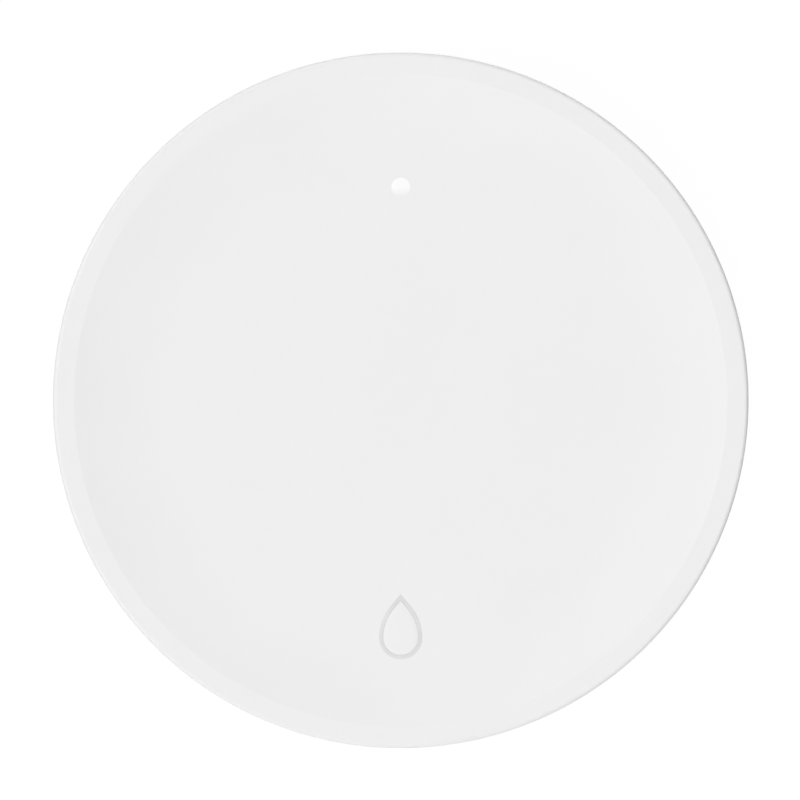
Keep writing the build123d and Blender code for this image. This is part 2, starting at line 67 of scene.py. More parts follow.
overrun = 1.0      # cuts run this far past what they cut
samePlace = 1e-7   # metres between points that count as one
nearPlace = 1e-6   # the same on CAD meshes and after cuts
facingUp = 0.999   # least Z of the normal of a face that looks up

dishRise = case["height"] - case["dishZ"]
sweepWidth = case["rimInner"] - case["dishFloor"]
sweepRadius = (sweepWidth ** 2 + dishRise ** 2) / (2 * dishRise)
sweepAngle = math.degrees(math.asin(sweepWidth / sweepRadius))


# height of the dished top above a point
def dishHeight(x, y):
    out = max(math.hypot(x, y) - case["dishFloor"], 0)
    return case["dishZ"] + sweepRadius - math.sqrt(sweepRadius ** 2 - out ** 2)


# draws a line from one vertex with extrusions and spins, upright in XZ or flat at a height
class Pen:
    def __init__(self, start, flatAt=None, centre=(0, 0)):
        self.bm = bmesh.new()
        self.flatAt = flatAt
        self.centre = centre
        self.first = self.tip = self.bm.verts.new(self.spot(start))

    def spot(self, point):
        if self.flatAt is None:
            return Vector((point[0], 0, point[1])) * mm
        return Vector((point[0] + self.centre[0], point[1] + self.centre[1], self.flatAt)) * mm

    def line(self, *points):
        for point in points:
            self.tip = bmesh.ops.extrude_vert_indiv(self.bm, verts=[self.tip])["verts"][0]
            self.tip.co = self.spot(point)
        return self

    # turns the tip round a centre, anticlockwise as drawn
    def arc(self, centre, degrees, steps):
        axis = (0, -1, 0) if self.flatAt is None else (0, 0, 1)
        made = bmesh.ops.spin(self.bm, geom=[self.tip], cent=self.spot(centre), axis=axis,
                              angle=math.radians(degrees), steps=steps)
        self.tip = [part for part in made["geom_last"] if isinstance(part, bmesh.types.BMVert)][0]
        return self

    # joins the tip to the start
    def closed(self):
        self.bm.edges.new((self.tip, self.first))
        return self

    # fills the closed outline and raises it into a solid
    def raised(self, height):
        cap = bmesh.ops.contextual_create(self.bm, geom=self.bm.edges[:])["faces"]
        lift(self.bm, cap, height)
        return closedUp(self.bm)

    # spins the upright profile round the Z axis into a closed shape
    def spun(self, steps=case["steps"]):
        bmesh.ops.spin(self.bm, geom=self.bm.verts[:] + self.bm.edges[:], cent=(0, 0, 0), axis=(0, 0, 1),
                       angle=math.tau, steps=steps, use_merge=True)
        return closedUp(self.bm)


def closedUp(bm):
    bmesh.ops.remove_doubles(bm, verts=bm.verts, dist=samePlace)
    bmesh.ops.recalc_face_normals(bm, faces=bm.faces)
    return bm


def moved(bm, x=0, y=0, z=0):
    bmesh.ops.translate(bm, verts=bm.verts, vec=Vector((x, y, z)) * mm)
    return bm


def turned(bm, angle):
    bmesh.ops.rotate(bm, verts=bm.verts, cent=(0, 0, 0), matrix=Matrix.Rotation(angle, 3, "Z"))
    return bm


# copies a shape from the X axis to the screws' places, which lie between the axes
def atScrews(bm):
    bmesh.ops.spin(bm, geom=bm.verts[:] + bm.edges[:] + bm.faces[:], cent=(0, 0, 0), axis=(0, 0, 1),
                   angle=math.tau * (screwCount - 1) / screwCount, steps=screwCount - 1, use_duplicate=True)
    return turned(bm, math.tau / (2 * screwCount))


def cylinder(radius, low, high, spot=(0, 0), steps=96):
    bm = bmesh.new()
    at = Matrix.Translation(Vector((*spot, (low + high) / 2)) * mm)
    bmesh.ops.create_cone(bm, cap_ends=True, segments=steps, radius1=radius * mm, radius2=radius * mm,
                          depth=(high - low) * mm, matrix=at)
    return bm


def tube(outer, inner, low, high, spot=(0, 0), steps=96):
    pen = Pen((inner, low)).line((outer, low), (outer, high), (inner, high)).closed()
    return moved(pen.spun(steps), *spot)


def block(size, middle):
    bm = bmesh.new()
    at = Matrix.Translation(Vector(middle) * mm) @ Matrix.Diagonal((*(side * mm for side in size), 1))
    bmesh.ops.create_cube(bm, size=1, matrix=at)
    return bm


# raises faces by a height, shrinks them about a spot, and gives the raised faces
def lift(bm, faces, height=0.0, share=1.0, spot=(0, 0)):
    around = {edge for face in faces for edge in face.edges}
    made = bmesh.ops.extrude_face_region(bm, geom=[*faces, *around])["geom"]
    verts = [part for part in made if isinstance(part, bmesh.types.BMVert)]
    bmesh.ops.translate(bm, verts=verts, vec=Vector((0, 0, height)) * mm)
    bmesh.ops.scale(bm, verts=verts, vec=(share, share, 1),
                    space=Matrix.Translation(Vector((*spot, 0)) * -mm))
    return [part for part in made if isinstance(part, bmesh.types.BMFace)]


dropSizes = {"half": 1.56, "tip": 3.13, "tipAngle": 40.0, "endSteps": 64, "sideSteps": 26}


# a column with the drop's outline, shrunk by inset
def dropColumn(inset, low, high):
    half, tip, degrees = dropSizes["half"], dropSizes["tip"], dropSizes["tipAngle"]
    turn = math.radians(degrees)
    sideRadius = (tip * math.sin(turn) - half * math.cos(turn)) / (1 - math.cos(turn))
    reach = sideRadius - half
    pen = Pen((half - inset, 0), flatAt=low, centre=dropSpot)
    pen.arc((-reach, 0), degrees, dropSizes["sideSteps"])
    end = pen.tip.co / mm - Vector((*dropSpot, 0))
    pen.line((0, tip - inset / math.sin(turn)), (-end.x, end.y))
    pen.arc((reach, 0), degrees, dropSizes["sideSteps"])
    steps = dropSizes["endSteps"]
    pen.arc((0, 0), 180 * (1 - 1 / steps), steps - 1)
    return pen.closed().raised(high - low)


# rounds the edges that lie at a height
def rounded(bm, height, width, segments=3):
    rim = [edge for edge in bm.edges if all(abs(vert.co.z - height * mm) < samePlace for vert in edge.verts)]
    bmesh.ops.bevel(bm, geom=rim, offset=width * mm, offset_type="OFFSET", segments=segments,
                    affect="EDGES", profile=0.5, material=-1)
    return bm


# lays what was modelled flat, at the height of the dish's floor, on the dish
def draped(piece):
    for point in piece.data.vertices:
        if point.co.z > (case["ceilingZ"] + case["drapeAbove"]) * mm:
            point.co.z += (dishHeight(point.co.x / mm, point.co.y / mm) - case["dishZ"]) * mm
    return piece


def toObject(name, bm):
    mesh = bpy.data.meshes.new(name)
    bm.to_mesh(mesh)
    bm.free()
    piece = bpy.data.objects.new(name, mesh)
    bpy.context.scene.collection.objects.link(piece)
    return piece


# cuts tools out of a piece, or adds them to it
def combined(piece, operation, *tools):
    for number, bm in enumerate(tools):
        tool = toObject(f"tool{number}", bm)
        change = piece.modifiers.new("combine", "BOOLEAN")
        change.operation, change.solver, change.object = operation, "EXACT", tool
        result = piece.evaluated_get(bpy.context.evaluated_depsgraph_get())
        old = piece.data
        piece.data = bpy.data.meshes.new_from_object(result)
        piece.data.name = piece.name
        piece.modifiers.clear()
        bpy.data.meshes.remove(old)
        bpy.data.objects.remove(tool)
    return piece


# smooth shading that stays crisp past an angle, then the finish, body and slot
def finished(piece, body, paint, replaced=(), crisp=30.0):
    piece.data.materials.clear()
    piece.data.materials.append(paint)
    piece.data.shade_smooth()
    piece.data.set_sharp_from_angle(angle=math.radians(crisp))
    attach(piece, body)
    if replaced:
        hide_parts(*replaced)
    return piece


# a merged copy of a CAD node, with its faces whole again where they are flat within an angle
def copied(name, node, flat=0.3):
    bm = bmesh.new()
    bm.from_mesh(nodes[node].data)
    bmesh.ops.remove_doubles(bm, verts=bm.verts, dist=nearPlace)
    bmesh.ops.dissolve_limit(bm, angle_limit=math.radians(flat), verts=bm.verts, edges=bm.edges)
    return toObject(name, bm)


# moulded or machined edges: a small round, with the flat faces kept flat
def softened(piece, width, segments=2, angle=35.0):
    edges = piece.modifiers.new("softEdges", "BEVEL")
    edges.width, edges.segments, edges.limit_method = width * mm, segments, "ANGLE"
    edges.angle_limit, edges.use_clamp_overlap = math.radians(angle), True
    edges.miter_outer = "MITER_ARC"
    shade = piece.modifiers.new("flatFaces", "WEIGHTED_NORMAL")
    shade.keep_sharp = False


# a Wire is one value among a Paint's nodes, and a sum on it adds Math nodes
class Wire:
    def __init__(self, paint, socket):
        self.paint = paint
        self.socket = socket

    def sum(self, operation, first, second):
        return self.paint.add("ShaderNodeMath", {"operation": operation}, {0: first, 1: second})

    def __add__(self, other):
        return self.sum("ADD", self, other)

    def __radd__(self, other):
        return self.sum("ADD", other, self)

    def __sub__(self, other):
        return self.sum("SUBTRACT", self, other)

    def __rsub__(self, other):
        return self.sum("SUBTRACT", other, self)

    def __mul__(self, other):
        return self.sum("MULTIPLY", self, other)

    def __rmul__(self, other):
        return self.sum("MULTIPLY", other, self)

    def __lt__(self, other):
        return self.sum("LESS_THAN", self, other)

    def __gt__(self, other):
        return self.sum("GREATER_THAN", self, other)


noiseRange = (0.3, 0.7)  # where nearly all of a noise's values lie


# builds the nodes of a new material or world
class Paint:
    def __init__(self, name, kind=bpy.data.materials):
        self.owner = kind.new(name)
        self.owner.use_nodes = True
        self.tree = self.owner.node_tree
        self.tree.nodes.clear()

    # settings go in first, then the values or links of the sockets; an output node gives nothing back
    def add(self, kind, settings=None, sockets=None, out=0):
        node = self.tree.nodes.new(kind)
        for key, value in (settings or {}).items():
            setattr(node, key, value)
        for key, value in (sockets or {}).items():
            if isinstance(value, Wire):
                self.tree.links.new(value.socket, node.inputs[key])
            else:
                node.inputs[key].default_value = value
        return Wire(self, node.outputs[out]) if node.outputs else None

    # object coordinates, centred on a spot and stretched along an axis where asked
    def place(self, spot=(0, 0, 0), stretch=(1, 1, 1)):
        here = self.add("ShaderNodeTexCoord", out="Object")
        middle = tuple(-value * mm * scale for value, scale in zip(spot, stretch))
        return self.add("ShaderNodeMapping", {"vector_type": "POINT"},
                        {"Vector": here, "Location": middle, "Scale": stretch})

    # noise with features of about size millimetres
    def noise(self, size, detail=3.0, place=None):
        return self.add("ShaderNodeTexNoise", {"noise_dimensions": "3D"},
                        {"Vector": place or self.place(), "Scale": 1 / (size * mm), "Detail": detail})

    def cells(self, size, feature="F1", place=None):
        return self.add("ShaderNodeTexVoronoi", {"feature": feature},
                        {"Vector": place or self.place(), "Scale": 1 / (size * mm)})

    def axis(self, letter, place):
        return self.add("ShaderNodeSeparateXYZ", {}, {0: place}, letter)

    def length(self, place):
        return self.add("ShaderNodeVectorMath", {"operation": "LENGTH"}, {0: place}, "Value")

    # goes up and down once in each length
    def wave(self, value, length):
        return self.add("ShaderNodeMath", {"operation": "SINE"}, {0: value * (math.tau / (length * mm))})

    def fit(self, value, low, high, newLow, newHigh, smooth=False):
        kind = "SMOOTHSTEP" if smooth else "LINEAR"
        return self.add("ShaderNodeMapRange", {"interpolation_type": kind},
                        {0: value, 1: low, 2: high, 3: newLow, 4: newHigh})

    # spreads a noise from low to high
    def spread(self, noise, low, high):
        return self.fit(noise, *noiseRange, low, high)

    def blend(self, factor, first, second):
        ends = {6: first if isinstance(first, Wire) else (*first, 1),
                7: second if isinstance(second, Wire) else (*second, 1)}
        return self.add("ShaderNodeMix", {"data_type": "RGBA"}, {0: factor, **ends}, out=2)

    def bump(self, height, depth):
        return self.add("ShaderNodeBump", {}, {"Height": height, "Distance": depth * mm})

    # 1 on a ray of a kind: Camera, Glossy or Transmission
    def ray(self, kind):
        return self.add("ShaderNodeLightPath", out=f"Is {kind} Ray")

    # 1 on what the camera sees, straight or by way of metal and glass
    def inSight(self):
        return self.ray("Camera") + self.ray("Glossy") + self.ray("Transmission")

    def output(self, surface, kind="ShaderNodeOutputMaterial"):
        self.add(kind, {}, {"Surface": surface})
        return self.owner

    def finish(self, **sockets):
        named = {key.replace("_", " "): value for key, value in sockets.items()}
        return self.output(self.add("ShaderNodeBsdfPrincipled", {}, named))


def tinted(colour, factor):
    return tuple(min(value * factor, 1.0) for value in colour)


plastic = {"cloudSize": 9.0, "glossSwing": 0.06}


# moulded plastic: a fine spark-eroded grain, with a little unevenness in colour and gloss
def mouldedPlastic(name, colour, roughness, grain=0.12, depth=0.0015, cloudy=0.985, shine=0.5):
    paint, swing = Paint(name), plastic["glossSwing"]
    cloud = paint.noise(plastic["cloudSize"])
    fine = paint.noise(grain)
    return paint.finish(
        Base_Color=paint.blend(paint.spread(cloud, 0, 1), tinted(colour, cloudy), colour),
        Roughness=paint.spread(fine, roughness - swing, roughness + swing),
        Specular_IOR_Level=shine,
        Normal=paint.bump(fine, depth),
    )


softSkin = {
    "mottleSize": 2.5, "mottleDetail": 4.0, "dark": 0.85, "pale": 1.1, "glossSwing": 0.08, "poreDepth": 0.01,
    "dustSize": 0.6, "dustDetail": 6.0, "dustFrom": 0.55, "dustTo": 0.8, "dustMost": 0.35,
}


# rubber: matt, faintly mottled, with fine dust in its pores
def rubber(name, colour, roughness=0.75, pore=0.25, dust=1.35):
    paint, skin = Paint(name), softSkin
    mottle = paint.noise(skin["mottleSize"], skin["mottleDetail"])
    pores = paint.cells(pore)
    dusty = paint.fit(paint.noise(skin["dustSize"], skin["dustDetail"]),
                      skin["dustFrom"], skin["dustTo"], 0, skin["dustMost"])
    body = paint.blend(mottle, tinted(colour, skin["dark"]), tinted(colour, skin["pale"]))
    return paint.finish(
        Base_Color=paint.blend(dusty, body, tinted(colour, dust)),
        Roughness=paint.spread(mottle, roughness - skin["glossSwing"], roughness + skin["glossSwing"]),
        Normal=paint.bump(pores, skin["poreDepth"]),
    )


turning = {
    "wornSize": 1.2, "wornDetail": 4.0, "wornFrom": 0.3, "wornTo": 0.75, "dark": 0.92, "pale": 1.05,
    "smoother": 0.06, "rougher": 0.1, "ripple": 0.3, "rippleShare": 0.6, "depth": 0.0012,
}


# lathe-turned metal: fine rings round a spot, and a few stray marks
def turnedMetal(name, colour, roughness, spot=(0, 0), ring=0.09):
    paint, cut = Paint(name), turning
    place = paint.place((*spot, 0))
    flat = paint.add("ShaderNodeVectorMath", {"operation": "MULTIPLY"}, {0: place, 1: (1, 1, 0)})
    rings = paint.wave(paint.length(flat), ring)
    worn = paint.noise(cut["wornSize"], cut["wornDetail"])
    return paint.finish(
        Base_Color=paint.blend(worn, tinted(colour, cut["dark"]), tinted(colour, cut["pale"])),
        Metallic=1.0,
        Roughness=paint.fit(worn, cut["wornFrom"], cut["wornTo"],
                            roughness - cut["smoother"], roughness + cut["rougher"]),
        Normal=paint.bump(rings + paint.noise(cut["ripple"]) * cut["rippleShare"], cut["depth"]),
    )


rolling = {
    "grain": 0.1, "stretch": (0.12, 1, 1), "stainSize": 3.0, "dark": 0.93, "pale": 1.05,
    "smoother": 0.08, "rougher": 0.1, "depth": 0.0012,
}


# drawn or plated sheet: a grain that runs along the X axis
def sheetMetal(name, colour, roughness):
    paint, drawn = Paint(name), rolling
    streaks = paint.noise(drawn["grain"], place=paint.place(stretch=drawn["stretch"]))
    stain = paint.noise(drawn["stainSize"])
    return paint.finish(
        Base_Color=paint.blend(stain, tinted(colour, drawn["dark"]), tinted(colour, drawn["pale"])),
        Metallic=1.0,
        Roughness=paint.spread(streaks, roughness - drawn["smoother"], roughness + drawn["rougher"]),
        Normal=paint.bump(streaks, drawn["depth"]),
    )


shellTone = (0.862, 0.862, 0.862)
shellWhite = mouldedPlastic("shellWhite", shellTone, 0.45, shine=0.25)
baseWhite = mouldedPlastic("baseWhite", (0.80, 0.80, 0.79), 0.52, grain=0.16, depth=0.003)
coverWhite = mouldedPlastic("coverWhite", (0.82, 0.82, 0.81), 0.5, grain=0.16, depth=0.003)
markWhite = mouldedPlastic("markWhite", (0.8, 0.8, 0.79), 0.35, grain=0.3, depth=0.001)
cellPlastic = mouldedPlastic("cellPlastic", (0.2, 0.2, 0.21), 0.45, cloudy=0.9)
chipBlack = mouldedPlastic("chipBlack", (0.04, 0.04, 0.045), 0.5, grain=0.06, cloudy=0.8)
switchBlack = mouldedPlastic("switchBlack", (0.06, 0.06, 0.06), 0.45, cloudy=0.8)
partTan = mouldedPlastic("partTan", (0.45, 0.36, 0.26), 0.4, grain=0.08, cloudy=0.9)
collarGrey = rubber("collarGrey", (0.755, 0.755, 0.755), 0.6, pore=0.08, dust=1.02)
footRubber = rubber("footRubber", (0.42, 0.42, 0.41), dust=1.15)
sealBlack = rubber("sealBlack", (0.05, 0.05, 0.05), 0.6)
screwSteel = turnedMetal("screwSteel", (0.58, 0.58, 0.58), 0.35)
standoffBrass = turnedMetal("standoffBrass", (0.78, 0.6, 0.3), 0.3)
cellSteel = turnedMetal("cellSteel", (0.7, 0.7, 0.69), 0.25, ring=0.15)
springSteel = sheetMetal("springSteel", (0.75, 0.73, 0.68), 0.3)
canTin = sheetMetal("canTin", (0.66, 0.66, 0.64), 0.35)
copperGold = sheetMetal("copperGold", (0.83, 0.65, 0.33), 0.3)


# the probes' own steel, turned about each one's middle
def probeSteel(name, x):
    return turnedMetal(name, (0.56, 0.555, 0.54), 0.25, (x, 0))


board = {
    "weave": 0.5, "lineCell": 2.6, "lineFrom": 0.05, "lineTo": 0.07, "lineShare": 0.7, "fibreShare": 0.3,
    "dark": (0.045, 0.21, 0.11), "pale": (0.055, 0.25, 0.13), "overLine": (0.09, 0.33, 0.16),
    "roughness": (0.3, 0.4), "depth": 0.01,
}


# solder mask over glass fibre, with the copper lines just showing through it
def boardGreen():
    paint = Paint("boardGreen")
    across, along = (paint.wave(paint.axis(letter, paint.place()), board["weave"]) for letter in "XY")
    fibres = paint.fit(across * along, -1, 1, 0, 1)
    edges = paint.cells(board["lineCell"], "DISTANCE_TO_EDGE", paint.place(stretch=(1, 1, 0)))
    copper = paint.fit(edges, board["lineFrom"], board["lineTo"], 1, 0)
    mask = paint.blend(fibres, board["dark"], board["pale"])
    return paint.finish(
        Base_Color=paint.blend(copper * board["lineShare"], mask, board["overLine"]),
        Roughness=paint.fit(fibres, 0, 1, *board["roughness"]),
        Normal=paint.bump(fibres * board["fibreShare"] + copper, board["depth"]),
    )


led = {
    "body": (0.93, 0.92, 0.88), "phosphor": (0.92, 0.84, 0.42), "dotRadius": 0.6, "dotEdge": 0.75,
    "squeeze": 1.6, "grain": 0.4, "detail": 2.0, "roughness": (0.15, 0.3),
}


# clear epoxy over a pale body, with the phosphor's yellow in the middle
def ledBody():
    paint = Paint("ledBody")
    radius = paint.length(paint.place((*lightSpot, 0), stretch=(1, led["squeeze"], 0)))
    dot = paint.fit(radius, led["dotRadius"] * mm, led["dotEdge"] * mm, 1, 0)
    return paint.finish(
        Base_Color=paint.blend(dot, led["body"], led["phosphor"]),
        Roughness=paint.spread(paint.noise(led["grain"], led["detail"]), *led["roughness"]),
    )


# sizes of the light guide's tip, and of its painted glow and painted fade
glow = {
    "tipRadius": 0.665, "strength": 0.1, "fadeFromShare": -1.1, "fadeToShare": 0.25, "uneven": (0.97, 1.03),
    "frostSize": 0.1, "frostDepth": 0.001, "frostTone": (0.875, 0.875, 0.875), "roughness": (0.45, 0.55),
}


# frosted light guide with a painted glow: the tip is painted glowing by emission, and the glow is painted
# fading towards the button
def lightGuide():
    paint, reach = Paint("lightGuide"), glow["tipRadius"] * mm
    along = paint.axis("Y", paint.place((*lightSpot, 0)))
    # painted shade: the tip's glow is painted darker along Y, towards the button
    tip = paint.fit(along, glow["fadeFromShare"] * reach, glow["fadeToShare"] * reach, 0, 1, smooth=True)
    frost = paint.noise(glow["frostSize"])
    # painted glow, made a little uneven by the frost noise
    paintedGlow = tip * (paint.spread(frost, *glow["uneven"]) * glow["strength"])
    return paint.finish(
        Base_Color=paint.blend(frost, shellTone, glow["frostTone"]),
        Roughness=paint.spread(frost, *glow["roughness"]),
        Emission_Color=paint.blend(paintedGlow, (0, 0, 0), (1, 1, 1)),
        Emission_Strength=1.0,
        Normal=paint.bump(frost, glow["frostDepth"]),
    )


slotPaints = {
    "shell_white": shellWhite, "base_white": baseWhite, "cover_white": coverWhite, "collar_grey": collarGrey,
    "foot_rubber": footRubber, "seal_black": sealBlack, "light_guide": lightGuide(),
    "probe_steel": probeSteel("probeSteel", probeCircle),
    "screw_steel": screwSteel, "standoff_brass": standoffBrass, "cell_steel": cellSteel,
    "cell_plastic": cellPlastic, "spring_steel": springSteel, "board_green": boardGreen(),
    "chip_black": chipBlack, "can_tin": canTin, "part_tan": partTan, "copper_gold": copperGold,
    "switch_black": switchBlack, "led_body": ledBody(),
}
for part in frame["record"]["subparts"]:
    skin = nodes[part["node"]].data.materials
    skin.clear()
    skin.append(slotPaints[part["material_slot"]])
print("materials done")

# the top shell: the dish, its flat rim and the rounded edge, with the bosses and holes inside;
# innerRing and rimFlat add rings of points that keep the flat parts flat
shell = {
    "edge": 0.32, "footRadius": 24.65, "footZ": 3.0, "footEdge": 0.3, "bore": 23.6, "ceilingRound": 0.8,
    "bossRadius": 2.0, "bossZ": 4.4, "pilotRadius": 1.0, "pilotTopZ": 9.8,
    "gussetWidth": 1.0, "gussetZ": 7.3, "socketOuter": 2.16, "socketInner": 1.36, "socketZ": 11.55,
    "ribOuter": 4.7, "ribInner": 3.9, "ribZ": 12.55, "sunk": 0.4, "windowInset": 0.005, "windowDepth": 0.3,
    "innerRing": 8.0, "rimFlat": 0.04, "sweepSteps": 24, "edgeSteps": 16, "sideSteps": 12, "roundSteps": 6,
    "bossSteps": 48, "pilotSteps": 32, "windowSteps": 128,
}


def makeTopShell():
    ceiling, flatZ, top, radius = case["ceilingZ"], case["dishZ"], case["height"], case["radius"]
    edge, foot, footEdge = shell["edge"], shell["footZ"], shell["footEdge"]
    taper, tall = radius - shell["footRadius"], top - foot
    sideRadius = (taper ** 2 + tall ** 2) / (2 * taper)
    sideTurn = math.degrees(math.asin((tall - footEdge) / sideRadius) - math.asin(edge / sideRadius))
    pen = Pen((0, flatZ)).line((shell["innerRing"], flatZ), (case["dishFloor"], flatZ))
    pen.arc((case["dishFloor"], flatZ + sweepRadius), sweepAngle, shell["sweepSteps"])
    pen.line((case["rimInner"] + shell["rimFlat"], top), (radius - edge - shell["rimFlat"], top),
             (radius - edge, top))
    pen.arc((radius - edge, top - edge), -90, shell["edgeSteps"])
    pen.arc((radius - sideRadius, top - edge), -sideTurn, shell["sideSteps"])
    side = pen.tip.co / mm
    lean = math.radians(sideTurn)
    pen.arc((side.x - footEdge * math.cos(lean), side.z + footEdge * math.sin(lean)), sideTurn - 90,
            shell["roundSteps"])
    bore, corner = shell["bore"], shell["ceilingRound"]
    pen.line((bore, pen.tip.co.z / mm), (bore, ceiling - corner))
    pen.arc((bore - corner, ceiling - corner), 90, shell["roundSteps"]).line((0, ceiling))
    piece = toObject("topShell", pen.spun())
    screwSpot, overlap = (screwCircle, 0), ceiling + shell["sunk"]
    boss = cylinder(shell["bossRadius"], shell["bossZ"], overlap, screwSpot, shell["bossSteps"])
    gussetLength = bore - screwCircle + shell["sunk"]
    gusset = block((gussetLength, shell["gussetWidth"], overlap - shell["gussetZ"]),
                   (screwCircle + gussetLength / 2, 0, (overlap + shell["gussetZ"]) / 2))
    combined(
        piece, "UNION", atScrews(boss), atScrews(gusset),
        tube(shell["socketOuter"], shell["socketInner"], shell["socketZ"], overlap, lightSpot),
        tube(shell["ribOuter"], shell["ribInner"], shell["ribZ"], overlap, buttonSpot),
    )
    pilot = cylinder(shell["pilotRadius"], shell["bossZ"] - overrun, shell["pilotTopZ"], screwSpot,
                     shell["pilotSteps"])
    low, high = ceiling - shell["windowDepth"], top + overrun
    combined(piece, "DIFFERENCE", atScrews(pilot),
             cylinder(glow["tipRadius"], low, high, lightSpot, shell["windowSteps"]),
             dropColumn(shell["windowInset"], low, high))
    finished(piece, "housing", shellWhite, ["top_shell"])
    # the line where the dish meets the rim stays crisp
    points = piece.data.vertices
    for line in piece.data.edges:
        onCrease = all(abs(math.hypot(points[n].co.x, points[n].co.y) - case["rimInner"] * mm) < nearPlace
                       and points[n].co.z > flatZ * mm for n in line.vertices)
        if onCrease:
            line.use_edge_sharp = True


makeTopShell()
print("top shell done")

# the light pipe: a frosted tip, a body and a rod
pipe = {
    "lowZ": 9.0, "rod": 0.75, "bodyZ": 11.75, "body": 1.3, "rise": 0.03, "domeSteps": 10, "steps": 128,
    "crisp": 60,
}


def makeLightPipe():
    tip, rise, top = glow["tipRadius"], pipe["rise"], case["dishZ"]
    domeRadius = (tip ** 2 + rise ** 2) / (2 * rise)
    turn = math.degrees(math.asin(tip / domeRadius))
    pen = Pen((0, top + rise)).arc((0, top + rise - domeRadius), -turn, pipe["domeSteps"])
    pen.line((tip, case["ceilingZ"]), (pipe["body"], case["ceilingZ"]), (pipe["body"], pipe["bodyZ"]),
             (pipe["rod"], pipe["bodyZ"]), (pipe["rod"], pipe["lowZ"]), (0, pipe["lowZ"]))
    piece = toObject("lightPipe", moved(pen.spun(pipe["steps"]), *lightSpot))
    finished(piece, "housing", slotPaints["light_guide"], ["light_pipe"], crisp=pipe["crisp"])


makeLightPipe()

# the drop: a soft grey collar that seals round a white key
collar = {
    "plateRadius": 3.8, "plateZ": 12.55, "hole": 0.27, "lip": 0.29, "lipBelow": 0.03, "edge": 0.01,
    "root": 0.1, "crisp": 40,
}
key = {
    "inset": 0.295, "edge": 0.015, "flangeRadius": 2.9, "flangeZ": 12.11, "flangeTopZ": 12.51,
    "postRadius": 1.2, "postZ": 9.4, "ringShares": (0.7, 0.6, 0.4), "middle": 0.35, "root": 0.2,
    "steps": 96, "crisp": 50,
}


def makeKeyCollar():
    top, plateZ = case["dishZ"], collar["plateZ"]
    high = top + overrun
    plate = cylinder(collar["plateRadius"], plateZ, case["ceilingZ"], buttonSpot)
    ring = rounded(dropColumn(shell["windowInset"], plateZ + collar["root"], top), top, collar["edge"])
    piece = combined(toObject("keyCollar", plate), "UNION", ring)
    combined(piece, "DIFFERENCE", dropColumn(collar["lip"], plateZ - overrun, high),
             dropColumn(collar["hole"], top - collar["lipBelow"], high))
    finished(draped(piece), "housing", collarGrey, ["key_collar"], crisp=collar["crisp"])


def makeDropKey():
    top, middle = case["dishZ"], (dropSpot[0], dropSpot[1] + key["middle"])
    head = rounded(dropColumn(key["inset"], key["flangeTopZ"] - key["root"], top), top, key["edge"])
    # rings of points, so that the key's top can follow the dish
    cap = [face for face in head.faces if face.normal.z > facingUp]
    for share in key["ringShares"]:
        cap = lift(head, cap, share=share, spot=middle)
    bmesh.ops.poke(head, faces=cap)
    post, flange = key["postRadius"], key["flangeRadius"]
    pen = Pen((0, key["postZ"])).line((post, key["postZ"]), (post, key["flangeZ"]), (flange, key["flangeZ"]),
                                      (flange, key["flangeTopZ"]), (0, key["flangeTopZ"]))
    piece = toObject("dropKey", moved(pen.spun(key["steps"]), *buttonSpot))
    combined(piece, "UNION", closedUp(head))
    finished(draped(piece), "button", shellWhite, ["drop_key"], crisp=key["crisp"])


makeKeyCollar()
makeDropKey()

# the switch's spring dome: a merged copy of the CAD node, with a mesh of its own
dome = finished(copied("switchDome", "switch_dome"), "housing", springSteel, ["switch_dome"])
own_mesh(dome)
print("light and key done")

# the underside: base, cover, marks, feet and probes
softEdges = {"base": 0.12, "cover": 0.1, "probe": 0.04}
base = finished(copied("baseShell", "bottom_shell"), "housing", baseWhite, ["bottom_shell"])
softened(base, softEdges["base"])
cover = finished(copied("batteryCover", "battery_cover"), "battery_cover", coverWhite,
                 ["battery_cover"])
softened(cover, softEdges["cover"])

# low moulded marks: a pointer on the cover, and a closed and an open padlock with an arrow on the base
mark = {
    "height": 0.2, "sunk": 0.1, "edge": 0.03, "edgeSteps": 2,
    "circle": 15.35, "closedAt": 90.0, "openAt": 45.0, "bodyWidth": 1.9, "bodyHeight": 1.35, "corner": 0.2,
    "cornerSteps": 6, "shackle": 0.7, "line": 0.27, "leg": 0.5, "gap": 0.3, "root": 0.2, "bowSteps": 24,
    "arrowFrom": 79.0, "arrowTo": 59.5, "arrowSteps": 24, "headLength": 4.4, "headWidth": 0.6,
    "pointerRadius": 11.0, "pointerWidth": 1.5, "pointerLength": 1.2,
}
markZ = case["baseZ"] - mark["height"]


def polar(radius, degrees):
    return Vector((radius * math.cos(math.radians(degrees)), radius * math.sin(math.radians(degrees)), 0))


# raises an outline that was drawn flat, and rounds its lower edges
def moulded(pen):
    return rounded(pen.closed().raised(mark["height"] + mark["sunk"]), markZ, mark["edge"], mark["edgeSteps"])


# drawn upright on the Y axis, then turned to its place on the circle
def makePadlock(name, degrees, lifted):
    outer, leg, root, steps = mark["shackle"], mark["leg"] + lifted, -mark["root"], mark["bowSteps"]
    inner = outer - mark["line"]
    bow = Pen((outer, lifted), flatAt=markZ).line((outer, leg)).arc((0, leg), 180, steps)
    bow.line((-outer, root), (-inner, root), (-inner, leg)).arc((0, leg), -180, steps).line((inner, lifted))
    half, deep, corner, turns = mark["bodyWidth"] / 2, mark["bodyHeight"], mark["corner"], mark["cornerSteps"]
    body = Pen((half, -corner), flatAt=markZ)
    body.arc((half - corner, -corner), 90, turns).line((corner - half, 0))
    body.arc((corner - half, -corner), 90, turns).line((-half, corner - deep))
    body.arc((corner - half, corner - deep), 90, turns).line((half - corner, -deep))
    body.arc((half - corner, corner - deep), 90, turns)
    piece = combined(toObject(name, moulded(body)), "UNION", moulded(bow))
    turn = Matrix.Rotation(math.radians(degrees - 90), 4, "Z")
    piece.data.transform(turn @ Matrix.Translation((0, mark["circle"] * mm, 0)))
    finished(piece, "housing", markWhite)


